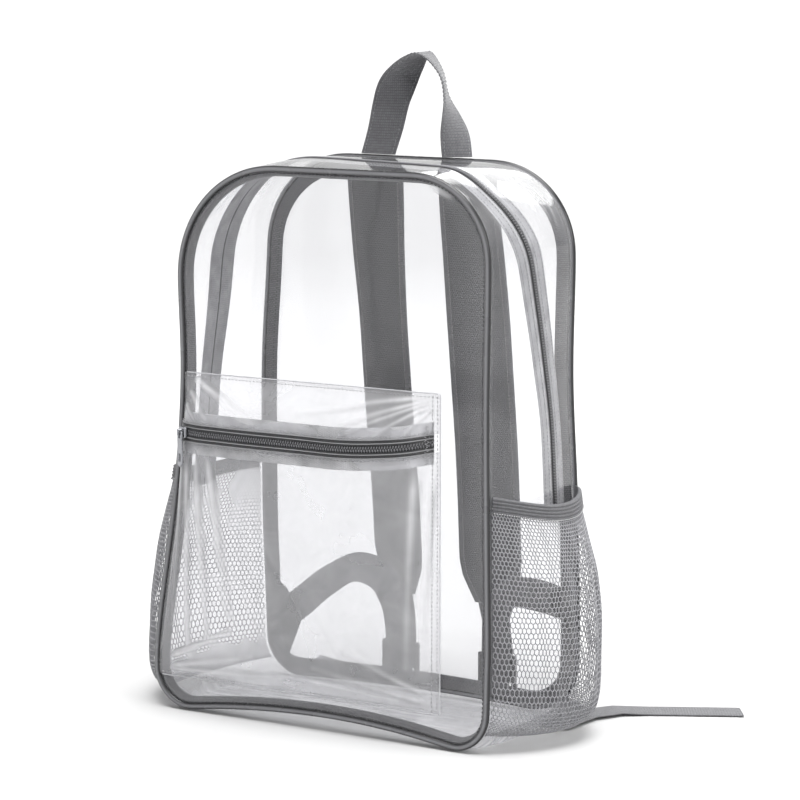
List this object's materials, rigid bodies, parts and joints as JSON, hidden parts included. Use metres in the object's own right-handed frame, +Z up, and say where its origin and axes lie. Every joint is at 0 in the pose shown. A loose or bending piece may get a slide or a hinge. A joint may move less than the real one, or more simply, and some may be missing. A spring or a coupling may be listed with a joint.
{
  "type": "backpack",
  "caption": "Clear zip backpack with a front zip pocket, net side pockets, a carrying handle and padded shoulder straps.",
  "frame": {"origin": "middle of the base, on the surface the bag stands on", "axes": "+Z up, the front pocket faces -Y, the shoulder straps are on the +Y side, +X is on the right as the front is seen"},
  "size_m": [0.4478, 0.2475, 0.5111],
  "materials": {
    "clear_vinyl": "clear, soft and glossy",
    "piping": "soft satin bead",
    "binding_tape": "woven tape",
    "zip_tape": "woven tape",
    "zip_coil": "coil teeth",
    "zip_metal": "nickel plated",
    "net": "open net",
    "hem_elastic": "ribbed elastic",
    "webbing": "ribbed webbing",
    "pad_cloth": "padded woven cloth",
    "buckle_plastic": "moulded"
  },
  "bodies": {
    "bag": {"front_panel": "clear_vinyl", "back_panel": "clear_vinyl", "gusset_front": "clear_vinyl", "gusset_back": "clear_vinyl", "lower_gusset": "clear_vinyl", "pocket_flap": "clear_vinyl", "pocket_face": "clear_vinyl", "front_piping": "piping", "back_piping": "piping", "front_binding": "binding_tape", "back_binding": "binding_tape", "corner_tab_left": "binding_tape", "corner_tab_right": "binding_tape", "main_zip_tape": "zip_tape", "pocket_zip_tape": "zip_tape", "main_zip_coil": "zip_coil", "pocket_zip_coil": "zip_coil", "main_zip_slider": "zip_metal", "pocket_zip_slider": "zip_metal", "side_net_right": "net", "side_net_left": "net", "side_hem_right": "hem_elastic", "side_hem_left": "hem_elastic", "carry_handle": "webbing", "pad_webbing_left": "webbing", "pad_webbing_right": "webbing", "lower_webbing_left": "webbing", "lower_webbing_right": "webbing", "strap_tail_left": "webbing", "strap_tail_right": "webbing", "shoulder_pad_left": "pad_cloth", "shoulder_pad_right": "pad_cloth", "ladder_lock_left": "buckle_plastic", "ladder_lock_right": "buckle_plastic"},
    "pull": {"pocket_zip_pull": "zip_metal"}
  },
  "joints": [
    {"name": "pocket_pull_swing", "type": "hinge", "parent": "bag", "child": "pull", "pos_m": [-0.11795, -0.08864, 0.224], "axis": [-0.878, 0.4786, 0], "range_deg": [0, 150]}
  ]
}
